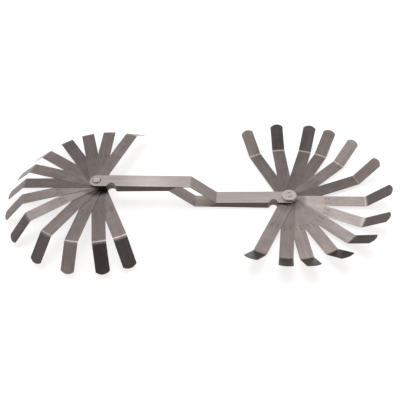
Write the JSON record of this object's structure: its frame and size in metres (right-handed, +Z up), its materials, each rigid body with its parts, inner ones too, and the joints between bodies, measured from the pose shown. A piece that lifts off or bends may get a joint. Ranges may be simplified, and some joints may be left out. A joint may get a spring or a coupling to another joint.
{
  "type": "offset feeler gauge",
  "caption": "Double-ended offset feeler gauge: angled steel leaves fanned on pivots at both ends of a stepped, folded steel handle.",
  "frame": {"origin": "under the middle of the handle, level with the underside of the lowest stud head", "axes": "+X along the handle from the high left end to the low right end, +Y to the open back of the channel, +Z up"},
  "size_m": [0.3724, 0.1882, 0.0323],
  "materials": {
    "handle_steel": "brushed",
    "leaf_steel": "fine ground",
    "stud_steel": "turned",
    "nut_steel": "nickel plated, turned and knurled",
    "washer_steel": "plain"
  },
  "bodies": {
    "handle": {"handle": "handle_steel", "left_stud": "stud_steel", "left_head_washer": "washer_steel", "left_nut_washer": "washer_steel", "right_stud": "stud_steel", "right_head_washer": "washer_steel", "right_nut_washer": "washer_steel"},
    "left_leaf_01": {"left_leaf_01": "leaf_steel"},
    "left_leaf_02": {"left_leaf_02": "leaf_steel"},
    "left_leaf_03": {"left_leaf_03": "leaf_steel"},
    "left_leaf_04": {"left_leaf_04": "leaf_steel"},
    "left_leaf_05": {"left_leaf_05": "leaf_steel"},
    "left_leaf_06": {"left_leaf_06": "leaf_steel"},
    "left_leaf_07": {"left_leaf_07": "leaf_steel"},
    "left_leaf_08": {"left_leaf_08": "leaf_steel"},
    "left_leaf_09": {"left_leaf_09": "leaf_steel"},
    "left_leaf_10": {"left_leaf_10": "leaf_steel"},
    "left_leaf_11": {"left_leaf_11": "leaf_steel"},
    "left_leaf_12": {"left_leaf_12": "leaf_steel"},
    "left_leaf_13": {"left_leaf_13": "leaf_steel"},
    "left_lock_nut": {"left_lock_nut": "nut_steel"},
    "right_leaf_01": {"right_leaf_01": "leaf_steel"},
    "right_leaf_02": {"right_leaf_02": "leaf_steel"},
    "right_leaf_03": {"right_leaf_03": "leaf_steel"},
    "right_leaf_04": {"right_leaf_04": "leaf_steel"},
    "right_leaf_05": {"right_leaf_05": "leaf_steel"},
    "right_leaf_06": {"right_leaf_06": "leaf_steel"},
    "right_leaf_07": {"right_leaf_07": "leaf_steel"},
    "right_leaf_08": {"right_leaf_08": "leaf_steel"},
    "right_leaf_09": {"right_leaf_09": "leaf_steel"},
    "right_leaf_10": {"right_leaf_10": "leaf_steel"},
    "right_leaf_11": {"right_leaf_11": "leaf_steel"},
    "right_leaf_12": {"right_leaf_12": "leaf_steel"},
    "right_leaf_13": {"right_leaf_13": "leaf_steel"},
    "right_lock_nut": {"right_lock_nut": "nut_steel"}
  },
  "joints": [
    {"name": "left_leaf_01_swing", "type": "hinge", "parent": "handle", "child": "left_leaf_01", "pos_m": [-0.092, 0, 0.0269], "axis": [0, 0, 1], "range_deg": [-71.3, 249.7]},
    {"name": "left_leaf_02_swing", "type": "hinge", "parent": "handle", "child": "left_leaf_02", "pos_m": [-0.092, 0, 0.0269], "axis": [0, 0, 1], "range_deg": [-90.7, 230.3]},
    {"name": "left_leaf_03_swing", "type": "hinge", "parent": "handle", "child": "left_leaf_03", "pos_m": [-0.092, 0, 0.0269], "axis": [0, 0, 1], "range_deg": [-108.7, 212.3]},
    {"name": "left_leaf_04_swing", "type": "hinge", "parent": "handle", "child": "left_leaf_04", "pos_m": [-0.092, 0, 0.0269], "axis": [0, 0, 1], "range_deg": [-126.7, 194.3]},
    {"name": "left_leaf_05_swing", "type": "hinge", "parent": "handle", "child": "left_leaf_05", "pos_m": [-0.092, 0, 0.0269], "axis": [0, 0, 1], "range_deg": [-146.7, 174.3]},
    {"name": "left_leaf_06_swing", "type": "hinge", "parent": "handle", "child": "left_leaf_06", "pos_m": [-0.092, 0, 0.0269], "axis": [0, 0, 1], "range_deg": [-164.5, 156.5]},
    {"name": "left_leaf_07_swing", "type": "hinge", "parent": "handle", "child": "left_leaf_07", "pos_m": [-0.092, 0, 0.0269], "axis": [0, 0, 1], "range_deg": [-180.8, 140.2]},
    {"name": "left_leaf_08_swing", "type": "hinge", "parent": "handle", "child": "left_leaf_08", "pos_m": [-0.092, 0, 0.0269], "axis": [0, 0, 1], "range_deg": [-197.7, 123.3]},
    {"name": "left_leaf_09_swing", "type": "hinge", "parent": "handle", "child": "left_leaf_09", "pos_m": [-0.092, 0, 0.0269], "axis": [0, 0, 1], "range_deg": [-217.3, 103.7]},
    {"name": "left_leaf_10_swing", "type": "hinge", "parent": "handle", "child": "left_leaf_10", "pos_m": [-0.092, 0, 0.0269], "axis": [0, 0, 1], "range_deg": [-240.7, 80.3]},
    {"name": "left_leaf_11_swing", "type": "hinge", "parent": "handle", "child": "left_leaf_11", "pos_m": [-0.092, 0, 0.0269], "axis": [0, 0, 1], "range_deg": [-261.6, 59.4]},
    {"name": "left_leaf_12_swing", "type": "hinge", "parent": "handle", "child": "left_leaf_12", "pos_m": [-0.092, 0, 0.0269], "axis": [0, 0, 1], "range_deg": [-281.6, 39.4]},
    {"name": "left_leaf_13_swing", "type": "hinge", "parent": "handle", "child": "left_leaf_13", "pos_m": [-0.092, 0, 0.0269], "axis": [0, 0, 1], "range_deg": [-296.7, 24.3]},
    {"name": "left_lock_nut_turn", "type": "hinge", "parent": "handle", "child": "left_lock_nut", "pos_m": [-0.092, 0, 0.0269], "axis": [0, 0, -1], "range_deg": [-20, 360]},
    {"name": "right_leaf_01_swing", "type": "hinge", "parent": "handle", "child": "right_leaf_01", "pos_m": [0.092, 0, 0.0054], "axis": [0, 0, -1], "range_deg": [-63.2, 257.8]},
    {"name": "right_leaf_02_swing", "type": "hinge", "parent": "handle", "child": "right_leaf_02", "pos_m": [0.092, 0, 0.0054], "axis": [0, 0, -1], "range_deg": [-83.3, 237.7]},
    {"name": "right_leaf_03_swing", "type": "hinge", "parent": "handle", "child": "right_leaf_03", "pos_m": [0.092, 0, 0.0054], "axis": [0, 0, -1], "range_deg": [-104.8, 216.2]},
    {"name": "right_leaf_04_swing", "type": "hinge", "parent": "handle", "child": "right_leaf_04", "pos_m": [0.092, 0, 0.0054], "axis": [0, 0, -1], "range_deg": [-118.1, 202.9]},
    {"name": "right_leaf_05_swing", "type": "hinge", "parent": "handle", "child": "right_leaf_05", "pos_m": [0.092, 0, 0.0054], "axis": [0, 0, -1], "range_deg": [-135.1, 185.9]},
    {"name": "right_leaf_06_swing", "type": "hinge", "parent": "handle", "child": "right_leaf_06", "pos_m": [0.092, 0, 0.0054], "axis": [0, 0, -1], "range_deg": [-156.7, 164.3]},
    {"name": "right_leaf_07_swing", "type": "hinge", "parent": "handle", "child": "right_leaf_07", "pos_m": [0.092, 0, 0.0054], "axis": [0, 0, -1], "range_deg": [-180.5, 140.5]},
    {"name": "right_leaf_08_swing", "type": "hinge", "parent": "handle", "child": "right_leaf_08", "pos_m": [0.092, 0, 0.0054], "axis": [0, 0, -1], "range_deg": [-202.3, 118.7]},
    {"name": "right_leaf_09_swing", "type": "hinge", "parent": "handle", "child": "right_leaf_09", "pos_m": [0.092, 0, 0.0054], "axis": [0, 0, -1], "range_deg": [-221.4, 99.6]},
    {"name": "right_leaf_10_swing", "type": "hinge", "parent": "handle", "child": "right_leaf_10", "pos_m": [0.092, 0, 0.0054], "axis": [0, 0, -1], "range_deg": [-240.1, 80.9]},
    {"name": "right_leaf_11_swing", "type": "hinge", "parent": "handle", "child": "right_leaf_11", "pos_m": [0.092, 0, 0.0054], "axis": [0, 0, -1], "range_deg": [-259.1, 61.9]},
    {"name": "right_leaf_12_swing", "type": "hinge", "parent": "handle", "child": "right_leaf_12", "pos_m": [0.092, 0, 0.0054], "axis": [0, 0, -1], "range_deg": [-273.7, 47.3]},
    {"name": "right_leaf_13_swing", "type": "hinge", "parent": "handle", "child": "right_leaf_13", "pos_m": [0.092, 0, 0.0054], "axis": [0, 0, -1], "range_deg": [-292.7, 28.3]},
    {"name": "right_lock_nut_turn", "type": "hinge", "parent": "handle", "child": "right_lock_nut", "pos_m": [0.092, 0, 0.0054], "axis": [0, 0, 1], "range_deg": [-20, 360]}
  ]
}
